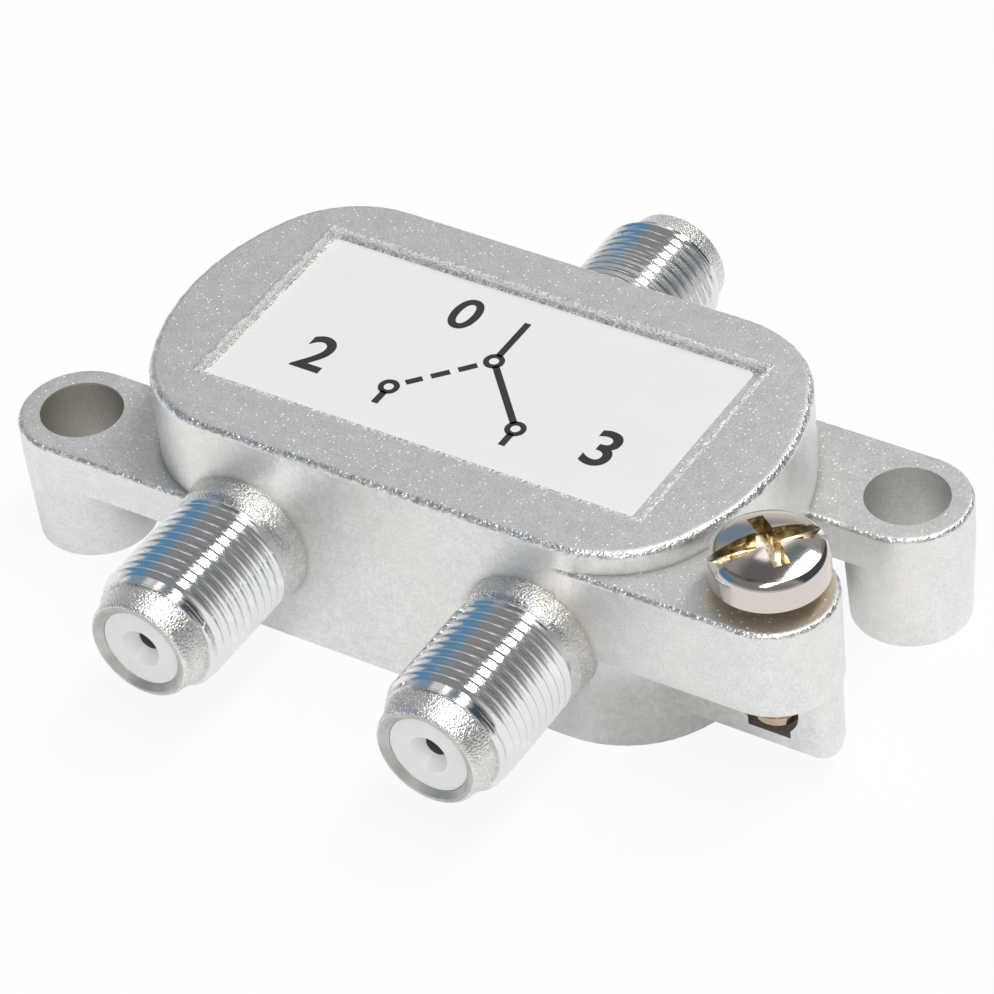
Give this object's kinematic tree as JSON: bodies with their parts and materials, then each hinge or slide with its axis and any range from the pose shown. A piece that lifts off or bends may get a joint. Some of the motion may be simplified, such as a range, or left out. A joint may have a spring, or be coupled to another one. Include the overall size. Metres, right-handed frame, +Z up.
{
  "type": "satellite priority switch",
  "caption": "Die-cast coaxial switch box with bowed ends, threaded input and output ports, diagonal mounting ears and a ground screw; joins satellite receivers to a shared antenna feed.",
  "frame": {"origin": "middle of the mounting plane, below the middle of the body", "axes": "+X from the left ear to the right ear, -Y out of the output ports, +Z up from the mounting plane through the label"},
  "size_m": [0.0644, 0.052, 0.0195],
  "materials": {
    "nickel_casting": "nickel-plated zinc die casting, satin with a fine sparkle",
    "tinplate": "plain tinplate",
    "label": "white printed sticker",
    "insulator": "white moulded plastic",
    "contact": "bright spring bronze",
    "board": "green solder resist",
    "ferrite": "dark ground ferrite",
    "winding": "enamelled copper wire",
    "can": "plain drawn can",
    "package": "black moulded package",
    "ceramic": "tan ceramic chip",
    "screw": "bright nickel with a warm tint"
  },
  "bodies": {
    "switch_box": {"housing": "nickel_casting", "bottom_cover": "tinplate", "label": "label", "insulator_in": "insulator", "insulator_out_1": "insulator", "insulator_out_2": "insulator", "contact_in": "contact", "contact_out_1": "contact", "contact_out_2": "contact", "circuit_board": "board", "choke_cores": "ferrite", "choke_windings": "winding", "buffer_capacitor": "can", "supply_transistors": "package", "control_transistors": "package", "pin_diodes": "package", "zener_diodes": "package", "chip_capacitors": "ceramic", "chip_resistors": "package"},
    "ground_screw": {"ground_screw": "screw"}
  },
  "joints": [
    {"name": "ground_screw_travel", "type": "slide", "parent": "switch_box", "child": "ground_screw", "axis": [0, 0, 1], "range_m": [-0.0007, 0.0035]}
  ]
}
